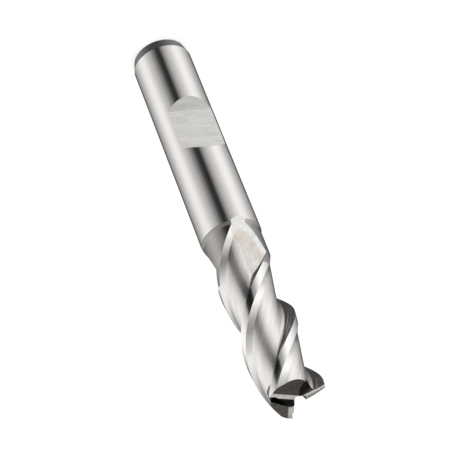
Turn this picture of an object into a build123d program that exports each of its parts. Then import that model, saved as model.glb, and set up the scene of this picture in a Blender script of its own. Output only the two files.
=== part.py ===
import math
import os

from build123d import *

# Overall sizes in millimetres. The tool stands on its shank end, tip up, with its axis on Z.
overall_length = 72.0
shank_diameter = 10.0
shank_length = 40.5
shank_chamfer_length = 1.9
shank_chamfer_depth = 0.5

# Flat on the shank for the holder's side screw.
flat_depth = 1.62
flat_length = 8.0
flat_centre_height = 19.4
flat_wall_angle = 45.0

# Turned neck between the shank and the cutting length.
neck_diameter = 9.56
neck_cone_length = 0.6
cutting_length = 22.7

# Teeth, seen in a section square to the axis. A turn is in degrees behind the cutting edge,
# and a drop is how far that point lies inside the cutting circle.
cutter_diameter = 10.0
tooth_count = 3
helix_angle = 38.15
first_tooth_angle = -21.1
margin_turn = 16.5
margin_drop = 0.2
margin_middle_drop = 0.09
clearance_turn = 30.0
clearance_drop = 0.84
back_middle_turn = 62.0
back_middle_drop = 1.43
back_end_turn = 94.0
back_end_drop = 1.98
rake_angle = 10.0
gullet_radius = 1.2

# Run-out of each flute into the neck, the imprint of the grinding wheel that lies along the flute,
# and of each clearance into the neck and shank. Both are placed by their length below the
# shoulder, and dip a little below the surface that they leave.
wheel_diameter = 150.0
flute_exit_length = 2.4
flute_exit_reach = 3.2
flute_exit_lead = 20.0
flute_exit_lag = 9.0
clearance_exit_length = 5.9
clearance_exit_turns = (5.0, 60.0)
exit_dip = 0.05

# Ground end of the cutter. Each tooth has its own start of end relief and gash, measured outward
# from the axis, since one tooth alone cuts to the centre.
end_land_width = 0.85
end_land_angle = 8.0
end_clearance_angle = 22.0
end_dish_angle = 1.5
end_relief_front = 0.5
end_relief_starts = (-0.3, 0.3, 0.3)
gash_starts = (-1.05, -0.9, 0.45)
gash_floor_widths = (1.8, 1.6, 1.05)
gash_floor_angle = 36.0
gash_rake_angle = 6.0
gash_heel_angles = (33.0, 33.0, 55.0)

# Values that follow from the sizes above.
shank_radius = shank_diameter / 2
cutter_radius = cutter_diameter / 2
neck_radius = neck_diameter / 2
wheel_radius = wheel_diameter / 2
shoulder_height = overall_length - cutting_length
tooth_pitch = 360.0 / tooth_count
helix_lead = math.pi * cutter_diameter / math.tan(math.radians(helix_angle))
turn_per_mm = 360.0 / helix_lead

# Above the solid root the twisted bar goes on alone, since every run-out ends higher.
clear_radius = 1.3 * max(shank_radius, cutter_radius)
run_out_length = 1.04 * cutter_diameter
root_overlap = 1.0
root_height = shoulder_height - run_out_length
bar_bottom = root_height - root_overlap


def polar(radius, angle, height=0.0):
    """Point at a radius, an angle about the axis in degrees and a height."""
    turn = math.radians(angle)
    return Vector(radius * math.cos(turn), radius * math.sin(turn), height)


def edge_angle(tooth, height):
    """Angle about the axis of a tooth's cutting edge at a height."""
    return first_tooth_angle + tooth_pitch * tooth - turn_per_mm * (overall_length - height)


def twist(section, bottom, top):
    """Solid from a section at the bottom height, turned along the helix up to the top height."""
    rise = top - bottom
    placed = section.moved(Location((0, 0, bottom)))
    return Solid.extrude_linear_with_rotation(placed, (0, 0, bottom), (0, 0, rise), turn_per_mm * rise)


def make_envelope():
    """Turned blank: shank, neck and shoulder, with room left round the teeth."""
    outline = Polyline(
        (0, 0),
        (shank_radius - shank_chamfer_depth, 0),
        (shank_radius, shank_chamfer_length),
        (shank_radius, shank_length),
        (neck_radius, shank_length + neck_cone_length),
        (neck_radius, shoulder_height),
        (clear_radius, shoulder_height),
        (clear_radius, overall_length),
        (0, overall_length),
        close=True,
    )
    return revolve(Plane.XZ * make_face(outline), Axis.Z)


def make_screw_flat():
    """Cutter for the flat on the shank, with sloping end walls."""
    rise = flat_depth + 1.0
    half_floor = flat_length / 2
    half_mouth = half_floor + rise / math.tan(math.radians(flat_wall_angle))
    floor = shank_radius - flat_depth
    outline = Polyline(
        (-floor, flat_centre_height - half_floor),
        (-floor, flat_centre_height + half_floor),
        (-floor - rise, flat_centre_height + half_mouth),
        (-floor - rise, flat_centre_height - half_mouth),
        close=True,
    )
    return extrude(Plane.YZ * make_face(outline), amount=clear_radius, both=True)


def back_arc(start):
    """Arc of a tooth's back in a section, from the end of its clearance inward."""
    return ThreePointArc(
        polar(cutter_radius - clearance_drop, start - clearance_turn),
        polar(cutter_radius - back_middle_drop, start - back_middle_turn),
        polar(cutter_radius - back_end_drop, start - back_end_turn),
    )


def tooth_outline(start):
    """Edges of one tooth's section from its tip back to the next tip, and its gullet corner."""
    tip = polar(cutter_radius, start)
    margin_middle = polar(cutter_radius - margin_middle_drop, start - margin_turn / 2)
    margin_end = polar(cutter_radius - margin_drop, start - margin_turn)
    back = back_arc(start)
    # The rake line of the next tooth meets the circle of this tooth's back in the gullet.
    next_tip = polar(cutter_radius, start - tooth_pitch)
    inward = polar(1.0, start - tooth_pitch + 180 + rake_angle)
    offset = next_tip - back.arc_center
    reach = offset.dot(inward)
    run = -reach - math.sqrt(reach**2 - offset.dot(offset) + back.radius**2)
    gullet = next_tip + inward * run
    edges = [
        ThreePointArc(tip, margin_middle, margin_end),
        Line(margin_end, back @ 0),
        ThreePointArc(back @ 0, back @ 0.5, gullet),
        Line(gullet, next_tip),
    ]
    return edges, gullet


def make_section():
    """Section of the fluted bar at its bottom height, with rounded gullets."""
    edges = []
    gullets = []
    for tooth in range(tooth_count):
        outline, gullet = tooth_outline(edge_angle(tooth, bar_bottom))
        edges += outline
        gullets.append(gullet)
    section = Face(Wire(edges))
    corners = [v for v in section.vertices() if min((Vector(v) - g).length for g in gullets) < 1e-4]
    return section.fillet_2d(gullet_radius, corners)


def make_sector(tooth, from_turn, to_turn, bottom, top):
    """Twisted sector between two turns behind a tooth's edge, wider than the blank."""
    start = edge_angle(tooth, bottom)
    reach = 2 * clear_radius
    middle_turn = (from_turn + to_turn) / 2
    corners = [Vector(0, 0)] + [polar(reach, start - t) for t in (from_turn, middle_turn, to_turn)]
    return twist(make_face(Polyline(*corners, close=True)).face(), bottom, top)


def surface_frame(point, across):
    """Frame at a point of a twisted surface: x runs across the flute and z out of the metal."""
    twist_rate = math.radians(turn_per_mm)
    along = Vector(-twist_rate * point.Y, twist_rate * point.X, 1.0)
    return Plane(origin=point, x_dir=across, z_dir=across.cross(along))


def make_flute_exit(tooth):
    """Material that closes a flute below the point where the wheel comes down to its back."""
    height = shoulder_height - flute_exit_length
    edge = edge_angle(tooth, height)
    facing = edge - back_middle_turn
    contact = polar(cutter_radius - back_middle_drop, facing, height)
    centre = back_arc(edge).arc_center + Vector(0, 0, height)
    across = Vector(0, 0, 1).cross(contact - centre).normalized()
    side = 8 * clear_radius
    wheel = Pos(0, 0, wheel_radius - exit_dip) * Rot(0, 90, 0) * Cylinder(wheel_radius, side)
    wheel = surface_frame(contact, across) * Rot(0, 0, -helix_angle) * wheel
    # Only the side toward the shank is filled, and the block ends inside the tooth above it.
    low_side = Rot(0, 0, facing) * Pos(0, -side / 2, height) * Box(side, side, side)
    top = shoulder_height + flute_exit_reach
    block = make_sector(tooth, -flute_exit_lead, tooth_pitch + flute_exit_lag, bar_bottom, top)
    return (block & low_side) - wheel


def make_clearance_exit(tooth):
    """Material below the plane on which a tooth's clearance leaves the neck and shank."""
    height = shoulder_height - clearance_exit_length
    edge = edge_angle(tooth, height)
    outer = polar(cutter_radius - margin_drop, edge - margin_turn, height)
    inner = polar(cutter_radius - clearance_drop, edge - clearance_turn, height)
    frame = surface_frame((outer + inner) / 2, (outer - inner).normalized())
    side = 4 * clear_radius
    block = frame * Pos(0, 0, -side / 2 - exit_dip) * Box(side, side, side)
    return block & make_sector(tooth, *clearance_exit_turns, bar_bottom, height)


def make_end_relief(tooth):
    """Cutter for a tooth's end: a narrow land behind the end edge, then a steeper face."""
    land_fall = end_land_width * math.tan(math.radians(end_land_angle))
    far = 2 * cutter_radius
    face_fall = land_fall + (far - end_land_width) * math.tan(math.radians(end_clearance_angle))
    front = end_relief_front
    outline = Polyline(
        (front, front * math.tan(math.radians(end_land_angle))),
        (-end_land_width, -land_fall),
        (-far, -face_fall),
        (-far, far),
        (front, far),
        close=True,
    )
    inner = end_relief_starts[tooth]
    prism = extrude(Plane.YZ * make_face(outline), amount=far - inner)
    cutter = Pos(inner - cutter_radius, 0, 0) * prism
    cutter = Pos(cutter_radius, 0, overall_length) * Rot(0, -end_dish_angle, 0) * cutter
    return Rot(0, 0, edge_angle(tooth, overall_length)) * cutter


def make_gash(tooth):
    """Cutter for the notch in front of a tooth's end edge, with a flat floor and a sloping heel."""
    height = 2 * cutter_radius
    floor = gash_floor_widths[tooth]
    heel = floor + height * math.tan(math.radians(gash_heel_angles[tooth]))
    outline = Polyline((0, 0), (floor, 0), (heel, height), (0, height), close=True)
    prism = extrude(Plane.YZ * make_face(outline), amount=4 * cutter_radius, both=True)
    cutter = Rot(gash_rake_angle, 0, 0) * Rot(0, gash_floor_angle, 0) * prism
    cutter = Pos(gash_starts[tooth], 0, overall_length) * cutter
    return Rot(0, 0, edge_angle(tooth, overall_length)) * cutter


def make_endmill():
    """The whole tool as one solid."""
    body = Pos(0, 0, root_height / 2) * Cylinder(clear_radius, root_height)
    body = body + twist(make_section(), bar_bottom, overall_length)
    for tooth in range(tooth_count):
        body = body + make_flute_exit(tooth)
        body = body + make_clearance_exit(tooth)
    body = body & make_envelope()
    body = body - make_screw_flat()
    for tooth in range(tooth_count):
        body = body - make_gash(tooth)
    for tooth in range(tooth_count):
        body = body - make_end_relief(tooth)
    return body


os.makedirs("parts", exist_ok=True)
endmill = make_endmill()
export_step(endmill, "parts/endmill.step")
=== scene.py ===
import logging
import math
from dataclasses import dataclass, field
from enum import Enum

import bmesh
import bpy
from mathutils import Matrix, Vector


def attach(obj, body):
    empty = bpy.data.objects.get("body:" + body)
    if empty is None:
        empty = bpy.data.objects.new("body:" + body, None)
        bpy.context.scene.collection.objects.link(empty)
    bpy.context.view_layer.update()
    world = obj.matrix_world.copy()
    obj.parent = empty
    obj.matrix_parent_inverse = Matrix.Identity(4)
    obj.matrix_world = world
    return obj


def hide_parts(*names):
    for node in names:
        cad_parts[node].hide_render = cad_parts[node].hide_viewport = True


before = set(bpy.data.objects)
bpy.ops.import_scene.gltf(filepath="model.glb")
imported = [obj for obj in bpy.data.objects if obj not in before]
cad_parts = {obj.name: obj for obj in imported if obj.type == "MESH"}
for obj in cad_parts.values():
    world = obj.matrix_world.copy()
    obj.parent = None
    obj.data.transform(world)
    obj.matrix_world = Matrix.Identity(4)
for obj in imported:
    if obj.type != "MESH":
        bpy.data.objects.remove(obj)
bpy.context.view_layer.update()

log = logging.getLogger("endmill")

METRES_PER_MM = 0.001
# Millimetres within which points count as one: on a cutting plane, in a body, where the teeth of
# the section meet, and in the finished piece.
PLANE_REACH = 1e-6
BODY_REACH = 1e-5
SECTION_REACH = 1e-4
SLIVER_REACH = 1e-3
# Angle in degrees above which two faces are shaded with an edge between them.
SHARP_ANGLE = 4.0
# Side of the tool that the camera stands on, as an angle about the axis in degrees.
CAMERA_AZIMUTH = -65.52

Stops = tuple[tuple[float, str], ...]


class Surface(Enum):
    """What made a surface of the tool, in the order of the material slots."""

    SHANK = 0
    CHAMFER = 1
    FLAT = 2
    NECK = 3
    FLUTE = 4
    MARGIN = 5
    RUN_OUT = 6
    CLEARANCE = 7
    END = 8
    GASH = 9
    RAKE = 10
    NOTCH = 11


class Joining(Enum):
    """What a second body does to the first."""

    ADD = "UNION"
    CUT = "DIFFERENCE"
    LIMIT = "INTERSECT"


@dataclass(frozen=True)
class Blank:
    """Turned blank, in millimetres, and the radius that clears everything on it."""

    length: float = 72.0
    shank_radius: float = 5.0
    shank_length: float = 40.5
    chamfer_length: float = 1.9
    chamfer_depth: float = 0.5
    neck_radius: float = 4.78
    cone_length: float = 0.6
    cutting_length: float = 22.7
    clear_radius: float = 6.5
    facets: int = 288

    @property
    def shoulder(self) -> float:
        """Height at which the neck ends and the teeth begin."""
        return self.length - self.cutting_length


@dataclass(frozen=True)
class FlatForm:
    """Flat for the holder's side screw, in millimetres and degrees."""

    depth: float = 1.62
    length: float = 8.0
    height: float = 19.4
    wall: float = 45.0
    clearance: float = 1.0


@dataclass(frozen=True)
class ToothForm:
    """One tooth in a section square to the axis, in millimetres and degrees.

    A turn is measured backwards from the cutting edge, and a drop inwards from the cutting circle.
    """

    count: int = 3
    radius: float = 5.0
    helix: float = 38.15
    first: float = -21.1
    margin_turn: float = 16.5
    margin_middle_drop: float = 0.09
    margin_drop: float = 0.2
    clearance_turn: float = 30.0
    clearance_drop: float = 0.84
    middle_turn: float = 62.0
    middle_drop: float = 1.43
    end_turn: float = 94.0
    end_drop: float = 1.98
    rake: float = 10.0
    gullet: float = 1.2
    margin_steps: int = 8
    back_steps: int = 30
    gullet_steps: int = 40
    # A face is rake if more than this share of its normal points round the axis.
    rake_share: float = 0.72
    # Turn by which the flute's finish laps onto the clearance.
    lap_turn: float = 0.5

    @property
    def pitch(self) -> float:
        """Angle from one tooth to the next."""
        return 360.0 / self.count

    @property
    def twist(self) -> float:
        """Degrees of turn for each millimetre of height."""
        return math.degrees(math.tan(math.radians(self.helix)) / self.radius)


@dataclass(frozen=True)
class RunOut:
    """Where the flutes and clearances leave the neck, in millimetres and degrees.

    The lengths run down from the shoulder, and the reach runs up from it.
    """

    wheel_radius: float = 75.0
    wheel_facets: int = 720
    flute_length: float = 2.4
    flute_reach: float = 3.2
    flute_lead: float = 20.0
    flute_lag: float = 9.0
    clearance_length: float = 5.9
    clearance_turns: tuple[float, float] = (5.0, 60.0)
    dip: float = 0.05
    root_length: float = 10.4
    overlap: float = 1.0


@dataclass(frozen=True)
class EndForm:
    """Ground end of the cutter, in millimetres and degrees, with one value a tooth in each tuple."""

    land_width: float = 0.85
    land_angle: float = 8.0
    clearance_angle: float = 22.0
    dish: float = 1.5
    front: float = 0.5
    relief_starts: tuple[float, ...] = (-0.3, 0.3, 0.3)
    gash_starts: tuple[float, ...] = (-1.05, -0.9, 0.45)
    gash_floors: tuple[float, ...] = (1.8, 1.6, 1.05)
    gash_heels: tuple[float, ...] = (33.0, 33.0, 55.0)
    gash_slope: float = 36.0
    gash_rake: float = 6.0
    # The first two gashes take the darker painted shade, the third a lighter one.
    gash_surfaces: tuple[Surface, ...] = (Surface.GASH, Surface.GASH, Surface.NOTCH)
    gash_mouths: tuple[float, ...] = (2.4, 3.0, 3.6)


def polar(radius: float, angle: float, height: float = 0.0) -> Vector:
    """Point at a radius, an angle about the axis in degrees and a height."""
    turn = math.radians(angle)
    return Vector((radius * math.cos(turn), radius * math.sin(turn), height))


def circle_centre(a: Vector, b: Vector, c: Vector) -> Vector:
    """Centre of the circle through three level points.

    Args:
        a: first point.
        b: second point.
        c: third point.

    Returns:
        The centre, at the height of the first point.
    """
    ab, ac = b - a, c - a
    cross = 2.0 * (ab.x * ac.y - ab.y * ac.x)
    x = (ac.y * ab.length_squared - ab.y * ac.length_squared) / cross
    y = (ab.x * ac.length_squared - ac.x * ab.length_squared) / cross
    return a + Vector((x, y, 0.0))


def turn_about(centre: Vector, start: Vector, end: Vector) -> float:
    """Signed angle about a centre from one level point to another, in radians."""
    a, b = start - centre, end - centre
    return math.atan2(a.x * b.y - a.y * b.x, a.x * b.x + a.y * b.y)


def fall(length: float, angle: float) -> float:
    """How far a slope at an angle in degrees drops over a length."""
    return length * math.tan(math.radians(angle))


class Body:
    """A closed mesh in millimetres that is joined to or cut from others."""

    def __init__(self, name: str) -> None:
        """Starts an empty mesh.

        Args:
            name: name of its object.
        """
        self.name = name
        self.bm = bmesh.new()

    @classmethod
    def prism(cls, name: str, corners: list[tuple[float, float]], start: float, length: float) -> "Body":
        """Makes a prism along X.

        Args:
            name: name of its object.
            corners: its outline as Y and Z, in order.
            start: where it starts on X.
            length: its length along X.

        Returns:
            The prism.
        """
        body = cls(name)
        body.outline([Vector((start, y, z)) for y, z in corners])
        body.extrude(Vector((length, 0, 0)))
        return body

    @classmethod
    def cylinder(cls, name: str, radius: float, depth: float, facets: int) -> "Body":
        """Makes a cylinder along Z with its middle at the origin.

        Args:
            name: name of its object.
            radius: its radius.
            depth: its length along Z.
            facets: number of flat sides.

        Returns:
            The cylinder.
        """
        body = cls(name)
        bmesh.ops.create_cone(
            body.bm, cap_ends=True, segments=facets, radius1=radius, radius2=radius, depth=depth
        )
        return body

    @classmethod
    def cube(cls, name: str, side: float) -> "Body":
        """Makes a cube with its middle at the origin.

        Args:
            name: name of its object.
            side: length of its edges.

        Returns:
            The cube.
        """
        body = cls(name)
        bmesh.ops.create_cube(body.bm, size=side)
        return body

    def line(self, start: bmesh.types.BMVert, end: Vector) -> bmesh.types.BMVert:
        """Draws a straight edge from a vertex.

        Args:
            start: vertex at the start of the edge.
            end: point where the edge ends.

        Returns:
            The vertex at the end.
        """
        made = bmesh.ops.extrude_vert_indiv(self.bm, verts=[start])
        bmesh.ops.translate(self.bm, verts=made["verts"], vec=end - start.co)
        return made["verts"][0]

    def arc(self, start: bmesh.types.BMVert, centre: Vector, end: Vector, steps: int) -> bmesh.types.BMVert:
        """Draws an arc of edges from a vertex, the shorter way round.

        Args:
            start: vertex at the start of the arc.
            centre: centre of the arc.
            end: point where the arc ends.
            steps: number of edges.

        Returns:
            The vertex at the end.
        """
        made = bmesh.ops.spin(
            self.bm, geom=[start], cent=centre, axis=(0, 0, 1), dvec=(0, 0, 0),
            angle=turn_about(centre, start.co, end), steps=steps,
        )
        return [item for item in made["geom_last"] if isinstance(item, bmesh.types.BMVert)][0]

    def outline(self, points: list[Vector]) -> None:
        """Draws a closed outline and fills it with one face.

        Args:
            points: corners of the outline in order.
        """
        first = last = self.bm.verts.new(points[0])
        for point in points[1:]:
            last = self.line(last, point)
        self.bm.edges.new((last, first))
        bmesh.ops.edgeloop_fill(self.bm, edges=self.bm.edges[:])

    def extrude(self, direction: Vector) -> None:
        """Gives the only face of the mesh a thickness.

        Args:
            direction: the thickness, along its direction.
        """
        made = bmesh.ops.extrude_face_region(self.bm, geom=self.bm.faces[:], use_keep_orig=True)
        verts = [item for item in made["geom"] if isinstance(item, bmesh.types.BMVert)]
        bmesh.ops.translate(self.bm, verts=verts, vec=direction)

    def spin(self, angle: float, steps: int, rise: float = 0.0, **options: bool) -> dict[str, list]:
        """Turns all vertices and edges about the axis.

        Args:
            angle: whole turn in radians.
            steps: number of steps.
            rise: height gained at each step.
            options: other options of the operator.

        Returns:
            What the operator made.
        """
        return bmesh.ops.spin(
            self.bm, geom=self.bm.verts[:] + self.bm.edges[:], cent=(0, 0, 0), axis=(0, 0, 1),
            dvec=(0, 0, rise), angle=angle, steps=steps, **options,
        )

    def sweep(self, rise: float, twist: float, steps: int) -> None:
        """Sweeps the closed outline up the axis along a helix and closes both ends.

        Args:
            rise: height of the sweep.
            twist: degrees of turn for each millimetre of height.
            steps: number of sections.
        """
        bottom = self.bm.edges[:]
        for face in self.bm.faces[:]:
            self.bm.faces.remove(face)
        made = self.spin(math.radians(twist * rise), steps, rise / steps)
        top = [item for item in made["geom_last"] if isinstance(item, bmesh.types.BMEdge)]
        for edges in (bottom, top):
            bmesh.ops.edgeloop_fill(self.bm, edges=edges)

    def weld(self, reach: float) -> None:
        """Makes one vertex of those that lie within reach of each other."""
        bmesh.ops.remove_doubles(self.bm, verts=self.bm.verts[:], dist=reach)

    def place(self, matrix: Matrix) -> None:
        """Moves the whole mesh by a matrix."""
        bmesh.ops.transform(self.bm, matrix=matrix, verts=self.bm.verts[:])

    def mark(self, surface: Surface) -> None:
        """Gives every face one surface's material slot."""
        for face in self.bm.faces:
            face.material_index = surface.value

    def mark_beyond(self, point: Vector, direction: Vector, surface: Surface) -> None:
        """Cuts every face at a plane and gives those beyond it another material slot.

        Args:
            point: point on the plane.
            direction: its normal, toward the changed side.
            surface: surface that those faces then belong to.
        """
        geom = self.bm.verts[:] + self.bm.edges[:] + self.bm.faces[:]
        bmesh.ops.bisect_plane(self.bm, geom=geom, plane_co=point, plane_no=direction, dist=PLANE_REACH)
        for face in self.bm.faces:
            if (face.calc_center_median() - point).dot(direction) > 0:
                face.material_index = surface.value

    def finish(self, materials: list[bpy.types.Material]) -> bpy.types.Object:
        """Turns the mesh into an object with closed, outward faces.

        Args:
            materials: one material for each kind of surface.

        Returns:
            The object, linked to the scene.
        """
        self.weld(BODY_REACH)
        bmesh.ops.recalc_face_normals(self.bm, faces=self.bm.faces[:])
        mesh = bpy.data.meshes.new(self.name)
        self.bm.to_mesh(mesh)
        self.bm.free()
        for material in materials:
            mesh.materials.append(material)
        made = bpy.data.objects.new(self.name, mesh)
        bpy.context.scene.collection.objects.link(made)
        return made


def combine(body: bpy.types.Object, tool: bpy.types.Object, joining: Joining) -> None:
    """Joins a second body to the first, cuts it away or keeps what both fill.

    Args:
        body: object that is changed.
        tool: object that is used up.
        joining: what the second body does to the first.
    """
    modifier = body.modifiers.new(joining.name, "BOOLEAN")
    modifier.operation = joining.value
    modifier.object = tool
    modifier.solver = "MANIFOLD"
    modifier.material_mode = "INDEX"
    bpy.context.view_layer.update()
    result = bpy.data.meshes.new_from_object(body.evaluated_get(bpy.context.evaluated_depsgraph_get()))
    result.name = body.name
    body.modifiers.clear()
    spent = [body.data, tool.data]
    body.data = result
    bpy.data.objects.remove(tool)
    for mesh in spent:
        bpy.data.meshes.remove(mesh)


def merge_slivers(mesh: bpy.types.Mesh) -> None:
    """Merges the points that the cuts leave closer together than a micron.

    Args:
        mesh: the cut mesh, in millimetres.
    """
    bm = bmesh.new()
    bm.from_mesh(mesh)
    bmesh.ops.dissolve_degenerate(bm, dist=SLIVER_REACH, edges=bm.edges[:])
    bm.to_mesh(mesh)
    bm.free()


def crease_borders(mesh: bpy.types.Mesh) -> None:
    """Marks the edges between two surfaces sharp, save where the rake runs on into the flute.

    Args:
        mesh: the finished mesh.
    """
    bm = bmesh.new()
    bm.from_mesh(mesh)
    smooth = {Surface.FLUTE.value, Surface.RAKE.value}
    for edge in bm.edges:
        kinds = {face.material_index for face in edge.link_faces}
        if len(kinds) > 1 and kinds != smooth:
            edge.smooth = False
    bm.to_mesh(mesh)
    bm.free()


@dataclass
class Endmill:
    """The whole cutter, ground from one blank as the real one is."""

    materials: list[bpy.types.Material]
    blank: Blank = field(default_factory=Blank)
    flat: FlatForm = field(default_factory=FlatForm)
    tooth: ToothForm = field(default_factory=ToothForm)
    run_out: RunOut = field(default_factory=RunOut)
    end: EndForm = field(default_factory=EndForm)
    steps_per_mm: int = 4

    @property
    def root(self) -> float:
        """Height of the solid root below the flutes."""
        return self.blank.shoulder - self.run_out.root_length

    @property
    def bottom(self) -> float:
        """Height at which the twisted bar starts inside the root."""
        return self.root - self.run_out.overlap

    def edge(self, tooth: int, height: float) -> float:
        """Angle about the axis of a tooth's cutting edge at a height, in degrees."""
        return self.tooth.first + self.tooth.pitch * tooth - self.tooth.twist * (self.blank.length - height)

    def dress(self, body: Body, matrix: Matrix, surface: Surface) -> bpy.types.Object:
        """Moves a body to its place and makes it an object.

        Args:
            body: the body, which is used up.
            matrix: where it goes.
            surface: surface that its faces belong to.

        Returns:
            The object.
        """
        body.place(matrix)
        body.mark(surface)
        return body.finish(self.materials)

    def back_points(self, start: float, height: float) -> list[Vector]:
        """Finds three points of the back behind a cutting edge.

        Args:
            start: angle of the cutting edge, in degrees.
            height: height of the section.

        Returns:
            The start, the middle and the end of the back's arc.
        """
        form = self.tooth
        turns = (form.clearance_turn, form.middle_turn, form.end_turn)
        drops = (form.clearance_drop, form.middle_drop, form.end_drop)
        return [polar(form.radius - drop, start - turn, height) for turn, drop in zip(turns, drops)]

    def draw_section(self, body: Body) -> None:
        """Draws the closed section of the fluted bar at its bottom height.

        Args:
            body: empty body that gets the section.
        """
        form, height = self.tooth, self.bottom
        start = self.edge(0, height)
        tip = polar(form.radius, start, height)
        middle = polar(form.radius - form.margin_middle_drop, start - form.margin_turn / 2, height)
        margin_end = polar(form.radius - form.margin_drop, start - form.margin_turn, height)
        back = self.back_points(start, height)
        back_centre = circle_centre(*back)
        back_radius = (back[0] - back_centre).length
        # The gullet's circle touches the back from outside and the next tooth's rake line.
        next_tip = polar(form.radius, start - form.pitch, height)
        inward = polar(1.0, start - form.pitch + 180 + form.rake)
        across = Vector((inward.y, -inward.x, 0.0))
        if across.dot(back[2] - next_tip) < 0:
            across = -across
        offset = next_tip + across * form.gullet - back_centre
        reach = offset.dot(inward)
        run = -reach - math.sqrt(reach**2 - offset.length_squared + (back_radius + form.gullet) ** 2)
        gullet_centre = next_tip + across * form.gullet + inward * run
        back_leave = back_centre + (gullet_centre - back_centre).normalized() * back_radius
        rake_start = gullet_centre - across * form.gullet
        # From the tip over the margin, the clearance, the back and the gullet to the next tip.
        vertex = body.bm.verts.new(tip)
        vertex = body.arc(vertex, circle_centre(tip, middle, margin_end), margin_end, form.margin_steps)
        vertex = body.line(vertex, back[0])
        vertex = body.arc(vertex, back_centre, back_leave, form.back_steps)
        vertex = body.arc(vertex, gullet_centre, rake_start, form.gullet_steps)
        body.line(vertex, next_tip)
        others = form.count - 1
        body.spin(math.radians(form.pitch * others), others, use_duplicate=True)
        body.weld(SECTION_REACH)

    def ground_surface(self, face: bmesh.types.BMFace) -> Surface:
        """Tells which grinding step made a face of the bar.

        Args:
            face: face of the twisted bar.

        Returns:
            The surface that it belongs to.
        """
        centre = face.calc_center_median()
        forward = Vector((-centre.y, centre.x, 0.0)).normalized()
        if abs(face.normal.dot(forward)) > self.tooth.rake_share:
            return Surface.RAKE
        turn = self.edge(0, centre.z) - math.degrees(math.atan2(centre.y, centre.x))
        turn %= self.tooth.pitch
        if turn < self.tooth.margin_turn:
            return Surface.MARGIN
        if turn < self.tooth.clearance_turn - self.tooth.lap_turn:
            return Surface.CLEARANCE
        return Surface.FLUTE

    def make_bar(self) -> bpy.types.Object:
        """Makes the twisted bar with all its flutes.

        Returns:
            The bar as an object.
        """
        body = Body("bar")
        self.draw_section(body)
        rise = self.blank.length - self.bottom
        body.sweep(rise, self.tooth.twist, int(rise * self.steps_per_mm))
        body.bm.normal_update()
        for face in body.bm.faces:
            face.material_index = self.ground_surface(face).value
        return body.finish(self.materials)

    def make_turned(self) -> bpy.types.Object:
        """Makes the turned blank, with room left round the teeth.

        Returns:
            The blank as an object.
        """
        form = self.blank
        profile = [
            (form.shank_radius - form.chamfer_depth, 0.0),
            (form.shank_radius, form.chamfer_length),
            (form.shank_radius, form.shank_length),
            (form.neck_radius, form.shank_length + form.cone_length),
            (form.neck_radius, form.shoulder),
            (form.clear_radius, form.shoulder),
            (form.clear_radius, form.length),
            (0.0, form.length),
        ]
        body = Body("turned")
        last = body.bm.verts.new((0.0, 0.0, 0.0))
        for radius, height in profile:
            last = body.line(last, Vector((radius, 0.0, height)))
        body.spin(math.tau, form.facets, use_merge=True)
        body.weld(BODY_REACH)
        body.mark(Surface.SHANK)
        for face in body.bm.faces:
            height = face.calc_center_median().z
            if height < form.chamfer_length:
                face.material_index = Surface.CHAMFER.value
            elif height > form.shank_length:
                face.material_index = Surface.NECK.value
        return body.finish(self.materials)

    def make_root(self) -> bpy.types.Object:
        """Makes the wide solid root that carries the bar and is turned down later.

        Returns:
            The root as an object.
        """
        body = Body.cylinder("root", self.blank.clear_radius, self.root, self.blank.facets)
        return self.dress(body, Matrix.Translation((0, 0, self.root / 2)), Surface.NECK)

    def make_sector(
        self, name: str, tooth: int, turns: tuple[float, float], top: float, surface: Surface
    ) -> bpy.types.Object:
        """Makes a twisted sector between two turns behind a tooth's edge, wider than the blank.

        Args:
            name: name of the object.
            tooth: its number, from 0.
            turns: first and last turn behind the edge, in degrees.
            top: height of the upper end.
            surface: surface that its faces belong to.

        Returns:
            The sector as an object.
        """
        body = Body(name)
        start = self.edge(tooth, self.bottom)
        reach = 2 * self.blank.clear_radius
        middle = sum(turns) / 2
        corners = [polar(reach, start - turn, self.bottom) for turn in (turns[0], middle, turns[1])]
        body.outline([Vector((0, 0, self.bottom))] + corners)
        rise = top - self.bottom
        body.sweep(rise, self.tooth.twist, int(rise * self.steps_per_mm))
        body.mark(surface)
        return body.finish(self.materials)

    def surface_frame(self, point: Vector, across: Vector) -> Matrix:
        """Frame at a point of a twisted surface: x runs across the flute and z out of the metal.

        Args:
            point: origin of the frame.
            across: level or sloping direction across the flute.

        Returns:
            The frame as a matrix.
        """
        rate = math.radians(self.tooth.twist)
        along = Vector((-rate * point.y, rate * point.x, 1.0))
        z = across.cross(along).normalized()
        x = across.normalized()
        y = z.cross(x)
        return Matrix.Translation(point) @ Matrix((x, y, z)).transposed().to_4x4()

    def make_flute_exit(self, tooth: int) -> bpy.types.Object:
        """Makes the material that closes a flute below where the wheel comes down to its back.

        Args:
            tooth: its number, from 0.

        Returns:
            The material as an object.
        """
        form = self.run_out
        height = self.blank.shoulder - form.flute_length
        edge = self.edge(tooth, height)
        back = self.back_points(edge, height)
        across = Vector((0, 0, 1)).cross(back[1] - circle_centre(*back))
        turns = (-form.flute_lead, self.tooth.pitch + form.flute_lag)
        top = self.blank.shoulder + form.flute_reach
        block = self.make_sector("flute_exit", tooth, turns, top, Surface.RUN_OUT)
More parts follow.
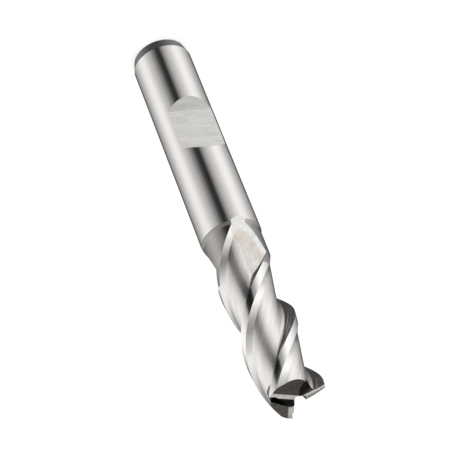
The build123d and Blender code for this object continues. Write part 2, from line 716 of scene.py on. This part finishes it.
        # Only the side toward the shank is filled. The limit and the wheel outreach the block.
        side = 8 * self.blank.clear_radius
        turn = Matrix.Rotation(math.radians(edge - self.tooth.middle_turn), 4, "Z")
        low_side = turn @ Matrix.Translation((0, -side / 2, height))
        combine(block, self.dress(Body.cube("low_side", side), low_side, Surface.RUN_OUT), Joining.LIMIT)
        contact = (
            self.surface_frame(back[1], across)
            @ Matrix.Rotation(-math.radians(self.tooth.helix), 4, "Z")
            @ Matrix.Translation((0, 0, form.wheel_radius - form.dip))
            @ Matrix.Rotation(math.pi / 2, 4, "Y")
        )
        wheel = Body.cylinder("wheel", form.wheel_radius, side, form.wheel_facets)
        combine(block, self.dress(wheel, contact, Surface.RUN_OUT), Joining.CUT)
        return block

    def make_clearance_exit(self, tooth: int) -> bpy.types.Object:
        """Makes the material below the plane on which a clearance leaves the neck and shank.

        Args:
            tooth: its number, from 0.

        Returns:
            The material as an object.
        """
        form = self.tooth
        height = self.blank.shoulder - self.run_out.clearance_length
        edge = self.edge(tooth, height)
        outer = polar(form.radius - form.margin_drop, edge - form.margin_turn, height)
        inner = polar(form.radius - form.clearance_drop, edge - form.clearance_turn, height)
        turns = self.run_out.clearance_turns
        block = self.make_sector("clearance_exit", tooth, turns, height, Surface.CLEARANCE)
        side = 4 * self.blank.clear_radius
        plane = self.surface_frame((outer + inner) / 2, outer - inner)
        below = plane @ Matrix.Translation((0, 0, -side / 2 - self.run_out.dip))
        combine(block, self.dress(Body.cube("below", side), below, Surface.CLEARANCE), Joining.LIMIT)
        return block

    def make_screw_flat(self) -> bpy.types.Object:
        """Makes the cutter for the flat on the shank, with sloping end walls.

        Returns:
            The cutter as an object.
        """
        form = self.flat
        rise = form.depth + form.clearance
        half_floor = form.length / 2
        half_mouth = half_floor + rise / math.tan(math.radians(form.wall))
        floor = self.blank.shank_radius - form.depth
        corners = [
            (-floor, form.height - half_floor),
            (-floor, form.height + half_floor),
            (-floor - rise, form.height + half_mouth),
            (-floor - rise, form.height - half_mouth),
        ]
        half_width = self.blank.clear_radius
        body = Body.prism("screw_flat", corners, -half_width, 2 * half_width)
        return self.dress(body, Matrix.Identity(4), Surface.FLAT)

    def tip_frame(self, tooth: int, outward: float) -> Matrix:
        """Frame at the tip, turned to a tooth's edge and moved outward along it."""
        turn = Matrix.Rotation(math.radians(self.edge(tooth, self.blank.length)), 4, "Z")
        return turn @ Matrix.Translation((outward, 0, self.blank.length))

    def make_end_relief(self, tooth: int) -> bpy.types.Object:
        """Makes the cutter for a tooth's end: a narrow land, then a steeper face.

        Args:
            tooth: its number, from 0.

        Returns:
            The cutter as an object.
        """
        form = self.end
        land_fall = fall(form.land_width, form.land_angle)
        far = 2 * self.tooth.radius
        corners = [
            (form.front, fall(form.front, form.land_angle)),
            (-form.land_width, -land_fall),
            (-far, -land_fall - fall(far - form.land_width, form.clearance_angle)),
            (-far, far),
            (form.front, far),
        ]
        inner = form.relief_starts[tooth]
        body = Body.prism("end_relief", corners, inner - self.tooth.radius, far - inner)
        dish = Matrix.Rotation(-math.radians(form.dish), 4, "Y")
        return self.dress(body, self.tip_frame(tooth, self.tooth.radius) @ dish, Surface.END)

    def make_gash(self, tooth: int) -> bpy.types.Object:
        """Makes the cutter for the notch in front of a tooth's end edge.

        Args:
            tooth: its number, from 0.

        Returns:
            The cutter as an object.
        """
        form = self.end
        height = 2 * self.tooth.radius
        floor = form.gash_floors[tooth]
        corners = [(0, 0), (floor, 0), (floor + fall(height, form.gash_heels[tooth]), height), (0, height)]
        half = 4 * self.tooth.radius
        body = Body.prism("gash", corners, -half, 2 * half)
        body.place(
            self.tip_frame(tooth, form.gash_starts[tooth])
            @ Matrix.Rotation(math.radians(form.gash_rake), 4, "X")
            @ Matrix.Rotation(math.radians(form.gash_slope), 4, "Y")
        )
        body.mark(form.gash_surfaces[tooth])
        # The open mouth of the gash takes the margin's bright finish, without the gash's painted shade.
        outward = polar(1.0, self.edge(tooth, self.blank.length))
        body.mark_beyond(outward * form.gash_mouths[tooth], outward, Surface.MARGIN)
        return body.finish(self.materials)

    def build(self) -> bpy.types.Object:
        """Builds the tool in the order in which it is made.

        Returns:
            The finished piece, in metres.
        """
        teeth = range(self.tooth.count)
        tool = self.make_root()
        combine(tool, self.make_bar(), Joining.ADD)
        for tooth in teeth:
            combine(tool, self.make_flute_exit(tooth), Joining.ADD)
            combine(tool, self.make_clearance_exit(tooth), Joining.ADD)
        combine(tool, self.make_turned(), Joining.LIMIT)
        combine(tool, self.make_screw_flat(), Joining.CUT)
        for tooth in teeth:
            combine(tool, self.make_gash(tooth), Joining.CUT)
        for tooth in teeth:
            combine(tool, self.make_end_relief(tooth), Joining.CUT)
        tool.name = tool.data.name = "ground_endmill"
        merge_slivers(tool.data)
        tool.data.transform(Matrix.Scale(METRES_PER_MM, 4))
        tool.data.shade_smooth()
        tool.data.set_sharp_from_angle(angle=math.radians(SHARP_ANGLE))
        crease_borders(tool.data)
        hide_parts("endmill")
        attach(tool, "root")
        return tool


def linear(hex_colour: str) -> tuple[float, float, float, float]:
    """Linear colour of an sRGB hex value.

    Args:
        hex_colour: colour as six hex digits.

    Returns:
        Red, green, blue and an alpha of 1.
    """
    parts = [int(hex_colour[i : i + 2], 16) / 255 for i in (0, 2, 4)]
    red, green, blue = [p / 12.92 if p <= 0.04045 else ((p + 0.055) / 1.055) ** 2.4 for p in parts]
    return red, green, blue, 1.0


def add_node(
    tree: bpy.types.NodeTree, kind: str, inputs: dict | None = None, **settings: object
) -> bpy.types.Node:
    """Adds one node with its settings and links.

    Args:
        tree: node tree that gets the node.
        kind: type name of the node.
        inputs: values or sockets for its inputs, by name or number.
        settings: its own settings.

    Returns:
        The node.
    """
    node = tree.nodes.new(kind)
    for name, value in settings.items():
        setattr(node, name, value)
    for key, value in (inputs or {}).items():
        if isinstance(value, bpy.types.NodeSocket):
            tree.links.new(value, node.inputs[key])
        else:
            node.inputs[key].default_value = value
    return node


def fill_ramp(node: bpy.types.Node, stops: list[tuple[float, str]]) -> None:
    """Sets the stops of a colour ramp.

    Args:
        node: colour ramp node.
        stops: position from 0 to 1 and sRGB hex colour of each stop, in order.
    """
    ramp = node.color_ramp
    while len(ramp.elements) > 1:
        ramp.elements.remove(ramp.elements[-1])
    ramp.elements[0].position = stops[0][0]
    ramp.elements[0].color = linear(stops[0][1])
    for position, colour in stops[1:]:
        ramp.elements.new(position).color = linear(colour)


class Grain(Enum):
    """Which way the machining lines of a surface run."""

    ROUND = "round the axis, and straight across the flat"
    HELIX = "along the flutes"
    CROSS = "across the end faces"


@dataclass(frozen=True)
class Finish:
    """Tool steel as one machining step leaves it, with sizes in millimetres.

    The relief is the depth of the lines, the tone how much darker the darkest one is, and the
    bands are colours outward from a distance off the axis. The rest is the same for all: how much
    wider broad lines are than fine ones, the detail of both, the range of their sum, how far they
    swing the roughness and fray the bands, and the radius up to which bands count.
    """

    name: str
    colour: str
    roughness: float
    grain: Grain
    line_width: float
    line_length: float
    relief: float
    tone: float
    bands: Stops = ()
    broad: float = 5.0
    detail: float = 3.0
    spread: tuple[float, float] = (0.6, 1.4)
    swing: float = 0.15
    fray: float = 0.025
    band_reach: float = 8.0

    def pattern(self, tree: bpy.types.NodeTree, width: float) -> bpy.types.NodeSocket:
        """Streaks that run with the grain.

        Args:
            tree: node tree of the material.
            width: distance across a streak, in millimetres.

        Returns:
            The socket that gives the streaks as a value from 0 to 1.
        """
        place = add_node(tree, "ShaderNodeTexCoord").outputs["Object"]
        across, along = 1 / (width * METRES_PER_MM), 1 / (self.line_length * METRES_PER_MM)
        scale = (along, along, across)
        if self.grain is Grain.HELIX:
            # Turned back by the flute's own twist, the lines stand upright.
            height = add_node(tree, "ShaderNodeSeparateXYZ", {0: place}).outputs["Z"]
            rate = -math.radians(ToothForm().twist) / METRES_PER_MM
            turn = add_node(tree, "ShaderNodeMath", {0: height, 1: rate}, operation="MULTIPLY").outputs[0]
            turned = {"Vector": place, "Angle": turn}
            place = add_node(tree, "ShaderNodeVectorRotate", turned, rotation_type="Z_AXIS").outputs[0]
            scale = (across, across, along)
        if self.grain is Grain.CROSS:
            scale = (across, along, along)
        scaled = add_node(tree, "ShaderNodeMapping", {"Vector": place, "Scale": scale}).outputs[0]
        noise = add_node(tree, "ShaderNodeTexNoise", {"Vector": scaled, "Scale": 1.0, "Detail": self.detail})
        return noise.outputs["Fac"]

    def band_tint(self, tree: bpy.types.NodeTree, streaks: bpy.types.NodeSocket) -> bpy.types.NodeSocket:
        """Colour by the distance from the axis, with borders that the streaks fray.

        Args:
            tree: node tree of the material.
            streaks: socket that gives the streaks.

        Returns:
            The socket that gives the colour.
        """
        place = add_node(tree, "ShaderNodeTexCoord").outputs["Object"]
        level = add_node(tree, "ShaderNodeVectorMath", {0: place, 1: (1, 1, 0)}, operation="MULTIPLY")
        radius = add_node(tree, "ShaderNodeVectorMath", {0: level.outputs[0]}, operation="LENGTH")
        share = {0: radius.outputs["Value"], 1: 1 / (self.band_reach * METRES_PER_MM), 2: -self.fray}
        share = add_node(tree, "ShaderNodeMath", share, operation="MULTIPLY_ADD").outputs[0]
        frayed = {0: streaks, 1: self.fray, 2: share}
        frayed = add_node(tree, "ShaderNodeMath", frayed, operation="MULTIPLY_ADD").outputs[0]
        ramp = add_node(tree, "ShaderNodeValToRGB", {"Fac": frayed})
        bands = [(reach / self.band_reach, colour) for reach, colour in self.bands]
        fill_ramp(ramp, [(0.0, self.colour)] + bands)
        return ramp.outputs["Color"]

    def make(self) -> bpy.types.Material:
        """Builds the material.

        Returns:
            The material, named for the finish.
        """
        material = bpy.data.materials.new(self.name)
        material.use_nodes = True
        tree = material.node_tree
        tree.nodes.clear()
        fine = self.pattern(tree, self.line_width)
        broad = self.pattern(tree, self.line_width * self.broad)
        streaks = add_node(tree, "ShaderNodeMath", {0: fine, 1: broad}, operation="ADD").outputs[0]
        spread = {"Value": streaks, "From Min": self.spread[0], "From Max": self.spread[1]}
        shade = {**spread, "To Min": 1 - self.tone, "To Max": 1.0}
        shade = add_node(tree, "ShaderNodeMapRange", shade).outputs[0]
        tint = self.band_tint(tree, streaks) if self.bands else linear(self.colour)
        shaded = {0: shade, 6: linear("000000"), 7: tint}
        colour = add_node(tree, "ShaderNodeMix", shaded, data_type="RGBA").outputs[2]
        dull, bright = self.roughness * (1 + self.swing), self.roughness * (1 - self.swing)
        rough = {**spread, "To Min": dull, "To Max": bright}
        rough = add_node(tree, "ShaderNodeMapRange", rough).outputs[0]
        lines = {"Height": streaks, "Distance": self.relief * METRES_PER_MM, "Strength": 1.0}
        bump = add_node(tree, "ShaderNodeBump", lines).outputs[0]
        steel = {"Base Color": colour, "Metallic": 1.0, "Roughness": rough, "Normal": bump}
        shader = add_node(tree, "ShaderNodeBsdfPrincipled", steel).outputs[0]
        add_node(tree, "ShaderNodeOutputMaterial", {"Surface": shader})
        return material


# Each finish says what the steel is, how the step left it and what that gives the eye. Real
# grinding and turning lines are about 0.02 mm wide, too fine to show in the render, so they are
# drawn about ten times as coarse.
FINISHES = {
    # Centreless ground and polished shank: bright, nearly a mirror, with faint rings.
    Surface.SHANK: Finish("polished_shank_steel", "F4F1EE", 0.10, Grain.ROUND, 0.3, 6.0, 0.0002, 0.03),
    # The chamfer keeps the dull skin of the hardening: grey satin, which mirrors no detail.
    Surface.CHAMFER: Finish("hardened_chamfer_steel", "B6B4B4", 0.38, Grain.ROUND, 0.25, 3.0, 0.0008, 0.15),
    # Milled across: matt pale grey with fine straight cutter marks.
    Surface.FLAT: Finish("milled_flat_steel", "FAF8F4", 0.18, Grain.ROUND, 0.2, 2.5, 0.0045, 0.24),
    # Turned and left unpolished: duller, brownish, with rings.
    Surface.NECK: Finish("turned_neck_steel", "BDB9B4", 0.20, Grain.ROUND, 0.12, 30.0, 0.0016, 0.26),
    # Flutes ground by the wheel's rim: bright with lines along the helix.
    Surface.FLUTE: Finish("ground_flute_steel", "F9F5F1", 0.17, Grain.HELIX, 0.2, 7.0, 0.0028, 0.26),
    # The narrow round margin behind each edge: the brightest ground surface.
    Surface.MARGIN: Finish("ground_margin_steel", "FCFAF8", 0.08, Grain.HELIX, 0.3, 9.0, 0.0006, 0.04),
    # Where the wheel leaves the neck: short lines, and bands by the distance from the axis, warm and a little
    # darker near 4 mm, near white near 4.45 mm.
    Surface.RUN_OUT: Finish(
        "wheel_run_out_steel", "FAF8F5", 0.15, Grain.HELIX, 0.2, 1.4, 0.0030, 0.26,
        ((3.3, "FAF8F5"), (3.7, "F1EBE4"), (4.0, "E9E0D6"), (4.25, "F0E9E1"), (4.45, "FFFFFE")),
    ),
    # Relief ground behind the margin: bright, with lines that fray what it mirrors.
    Surface.CLEARANCE: Finish("ground_clearance_steel", "FCFAF7", 0.05, Grain.HELIX, 0.2, 1.6, 0.0040, 0.08),
    # End faces from a fine wheel: grey satin with short scratches.
    Surface.END: Finish("ground_end_steel", "E8E1DB", 0.26, Grain.CROSS, 0.25, 0.7, 0.0120, 0.5),
    # Gashes cut roughly with a sharp wheel: dark, a painted shade that stands in for the dark inside of the
    # slot.
    Surface.GASH: Finish("rough_gash_steel_painted_shade", "42403E", 0.22, Grain.CROSS, 0.25, 3.0, 0.0015, 0.2),
    # Rake faces from the wheel's flank: smooth and a little duller than the flutes.
    Surface.RAKE: Finish("ground_rake_steel", "E0DCD8", 0.20, Grain.HELIX, 0.3, 9.0, 0.0003, 0.05),
    # The short gash: dark brown grey, a lighter painted shade than in the other gashes.
    Surface.NOTCH: Finish("short_gash_steel_painted_shade", "76716C", 0.22, Grain.CROSS, 0.25, 3.0, 0.0015, 0.2),
}


@dataclass(frozen=True)
class Belt:
    """Belt of the studio's light that takes over from the one below between two elevations.

    Its greys go by the angle round the tool from the camera's side, rising to the left in the
    picture. All angles are in degrees.
    """

    start: float
    full: float
    greys: Stops


# Greys from the lowest belt up: mostly pale at both sides, as from two soft
# boxes, with dark gaps that the round steel mirrors as stripes.
BELTS = (
    # Far below the horizon, where the shank looks.
    Belt(-66, -52, (
        (-180, "B0B0B0"), (-165, "4C4C4C"), (-140, "909090"), (-105, "D0D0D0"), (-75, "F6F6F6"),
        (-50, "DADADA"), (-28, "AEAEAE"), (-17, "808080"), (-10, "404040"), (4, "3C3C3C"),
        (13, "686868"), (28, "A2A2A2"), (50, "D2D2D2"), (75, "F2F2F2"), (105, "D0D0D0"),
        (140, "909090"), (165, "545454"), (180, "B0B0B0"),
    )),
    # Nearer to the horizon, where the margins and clearances look.
    Belt(-34, -27, (
        (-180, "909090"), (-165, "606060"), (-140, "909090"), (-105, "D0D0D0"), (-75, "F8F8F8"),
        (-50, "F4F4F4"), (-30, "B4B4B4"), (-16, "888888"), (-12, "383838"), (17, "343434"),
        (22, "707070"), (30, "B0B0B0"), (50, "DCDCDC"), (75, "F4F4F4"), (105, "F0F0F0"),
        (140, "A8A8A8"), (165, "7C7C7C"), (180, "909090"),
    )),
    # Just below the horizon, where the flutes and run-outs look.
    Belt(-17.8, -14.8, (
        (-180, "747474"), (-160, "6A6A6A"), (-135, "A8A8A8"), (-100, "DCDCDC"), (-60, "FFFFFF"),
        (-35, "F8F8F8"), (-20, "CECECE"), (0, "9C9C9C"), (20, "B2B2B2"), (45, "E4E4E4"),
        (70, "FAFAFA"), (100, "E0E0E0"), (135, "A4A4A4"), (160, "6A6A6A"), (180, "747474"),
    )),
    # At the horizon.
    Belt(-10, -2, (
        (-180, "C0C0C0"), (-160, "949494"), (-135, "A0A0A0"), (-105, "E2E2E2"), (-75, "FFFFFF"),
        (-50, "E4E4E4"), (-30, "C4C4C4"), (0, "808080"), (25, "B0B0B0"), (50, "E0E0E0"),
        (75, "EAEAEA"), (105, "CECECE"), (135, "A0A0A0"), (160, "949494"), (180, "C0C0C0"),
    )),
    # Above the horizon, where the end faces look.
    Belt(3, 9, (
        (-180, "F0F0F0"), (-167, "D8D8D8"), (-151, "5A5A5A"), (-135, "383838"), (-95, "1C1C1C"),
        (-65, "C8C8C8"), (0, "989898"), (30, "C0C0C0"), (60, "A0A0A0"), (80, "7C7C7C"),
        (120, "6C6C6C"), (140, "444444"), (152, "5A5A5A"), (168, "C8C8C8"), (180, "F0F0F0"),
    )),
)


@dataclass(frozen=True)
class Studio:
    """Pale floor, soft light all round and the camera, in millimetres, degrees and watts."""

    focal_length: float = 151.23
    sensor_width: float = 36.0
    nearest: float = 10.0
    camera_place: tuple[float, float, float] = (102.75, -226.20, 215.71)
    camera_elevation: float = 35.503
    camera_roll: float = 158.349
    # Grey of the light from straight below, the strength of all belts, and the plain backdrop.
    below: str = "4A4A4A"
    strength: float = 1.08
    backdrop: str = "F6F6F5"
    lamp_size: float = 900.0
    lamp_height: float = 900.0
    lamp_power: float = 12.0
    floor_size: float = 4000.0
    floor_colours: tuple[str, str] = ("F4F4F3", "F9F9F8")
    floor_mottle: float = 25.0
    floor_detail: float = 4.0
    floor_roughness: float = 0.9
    floor_specular: float = 0.1
    floor_glow: float = 1.1
    floor_glow_share: float = 0.75

    def belt_light(self, tree: bpy.types.NodeTree) -> bpy.types.NodeSocket:
        """Colour of the light by the direction that it comes from.

        Args:
            tree: node tree of the world.

        Returns:
            The socket that gives the colour.
        """
        place = add_node(tree, "ShaderNodeTexCoord").outputs["Generated"]
        to_camera = {"Vector": place, "Angle": -math.radians(CAMERA_AZIMUTH)}
        turned = add_node(tree, "ShaderNodeVectorRotate", to_camera, rotation_type="Z_AXIS").outputs[0]
        parts = add_node(tree, "ShaderNodeSeparateXYZ", {0: turned}).outputs
        angle = add_node(tree, "ShaderNodeMath", {0: parts["Y"], 1: parts["X"]}, operation="ARCTAN2")
        part_turn = {0: angle.outputs[0], 1: 1 / math.tau, 2: 0.5}
        part_turn = add_node(tree, "ShaderNodeMath", part_turn, operation="MULTIPLY_ADD").outputs[0]
        colour = linear(self.below)
        for belt in BELTS:
            low, high = math.sin(math.radians(belt.start)), math.sin(math.radians(belt.full))
            rise = {"Value": parts["Z"], "From Min": low, "From Max": high}
            share = add_node(tree, "ShaderNodeMapRange", rise, interpolation_type="SMOOTHSTEP").outputs[0]
            ramp = add_node(tree, "ShaderNodeValToRGB", {"Fac": part_turn})
            ramp.color_ramp.interpolation = "CARDINAL"
            fill_ramp(ramp, [(0.5 + degrees / 360, grey) for degrees, grey in belt.greys])
            taken_over = {0: share, 6: colour, 7: ramp.outputs["Color"]}
            colour = add_node(tree, "ShaderNodeMix", taken_over, data_type="RGBA").outputs[2]
        return colour

    def light(self) -> None:
        """Sets up the belts of soft light round the tool, and the plain backdrop behind it."""
        world = bpy.data.worlds.new("studio")
        bpy.context.scene.world = world
        world.use_nodes = True
        tree = world.node_tree
        tree.nodes.clear()
        soft = {"Color": self.belt_light(tree), "Strength": self.strength}
        soft = add_node(tree, "ShaderNodeBackground", soft).outputs[0]
        plain = {"Color": linear(self.backdrop), "Strength": 1.0}
        plain = add_node(tree, "ShaderNodeBackground", plain).outputs[0]
        seen = add_node(tree, "ShaderNodeLightPath").outputs["Is Camera Ray"]
        mixed = add_node(tree, "ShaderNodeMixShader", {0: seen, 1: soft, 2: plain}).outputs[0]
        add_node(tree, "ShaderNodeOutputWorld", {"Surface": mixed})

    def lamp(self) -> None:
        """Hangs a large soft lamp overhead, which lights the floor and isn't mirrored."""
        lamp = bpy.data.lights.new("overhead", "AREA")
        lamp.shape = "DISK"
        lamp.size = self.lamp_size * METRES_PER_MM
        lamp.energy = self.lamp_power
        made = bpy.data.objects.new("overhead", lamp)
        made.location = (0.0, 0.0, self.lamp_height * METRES_PER_MM)
        made.visible_glossy = False
        bpy.context.scene.collection.objects.link(made)

    def floor_paint(self) -> bpy.types.Material:
        """Builds matt white floor paint, rolled on: nearly even, with a faint broad mottle.

        Returns:
            The material.
        """
        material = bpy.data.materials.new("matt_floor_paint")
        material.use_nodes = True
        tree = material.node_tree
        tree.nodes.clear()
        place = add_node(tree, "ShaderNodeTexCoord").outputs["Object"]
        scale = 1 / (self.floor_mottle * METRES_PER_MM)
        mottle = {"Vector": place, "Scale": scale, "Detail": self.floor_detail}
        mottle = add_node(tree, "ShaderNodeTexNoise", mottle).outputs["Fac"]
        first, second = [linear(colour) for colour in self.floor_colours]
        mixed = {0: mottle, 6: first, 7: second}
        colour = add_node(tree, "ShaderNodeMix", mixed, data_type="RGBA").outputs[2]
        matt = {"Roughness": self.floor_roughness, "Specular IOR Level": self.floor_specular}
        paint = add_node(tree, "ShaderNodeBsdfPrincipled", {"Base Color": colour, **matt}).outputs[0]
        # Lit from below as well, like a light table, so that the shadow stays faint.
        glow = add_node(tree, "ShaderNodeEmission", {"Color": colour, "Strength": self.floor_glow}).outputs[0]
        lit = {0: self.floor_glow_share, 1: paint, 2: glow}
        shader = add_node(tree, "ShaderNodeMixShader", lit).outputs[0]
        add_node(tree, "ShaderNodeOutputMaterial", {"Surface": shader})
        return material

    def floor(self) -> None:
        """Lays the pale floor that the shank stands on."""
        bm = bmesh.new()
        bmesh.ops.create_grid(bm, x_segments=1, y_segments=1, size=self.floor_size / 2 * METRES_PER_MM)
        mesh = bpy.data.meshes.new("floor")
        bm.to_mesh(mesh)
        bm.free()
        mesh.materials.append(self.floor_paint())
        made = bpy.data.objects.new("floor", mesh)
        bpy.context.scene.collection.objects.link(made)
        made.visible_glossy = False

    def camera(self) -> None:
        """Sets the camera at the photograph's viewing angle."""
        lens = bpy.data.cameras.new("camera")
        lens.sensor_width = self.sensor_width
        lens.lens = self.focal_length
        lens.clip_start = self.nearest * METRES_PER_MM
        made = bpy.data.objects.new("camera", lens)
        turn = (
            Matrix.Rotation(math.radians(CAMERA_AZIMUTH + 90), 4, "Z")
            @ Matrix.Rotation(math.radians(90 - self.camera_elevation), 4, "X")
            @ Matrix.Rotation(math.radians(self.camera_roll), 4, "Z")
        )
        made.matrix_world = Matrix.Translation(Vector(self.camera_place) * METRES_PER_MM) @ turn
        bpy.context.scene.collection.objects.link(made)
        bpy.context.scene.camera = made

    def build(self) -> None:
        """Sets up the floor, the light and the camera."""
        self.floor()
        self.light()
        self.lamp()
        self.camera()
        bpy.context.scene.view_settings.view_transform = "Standard"


def main() -> None:
    """Builds the studio and the tool."""
    logging.basicConfig(level=logging.INFO, format="%(name)s: %(message)s")
    Studio().build()
    materials = [FINISHES[surface].make() for surface in Surface]
    tool = Endmill(materials).build()
    log.info("%s: %d faces", tool.name, len(tool.data.polygons))


if __name__ == "__main__":
    main()
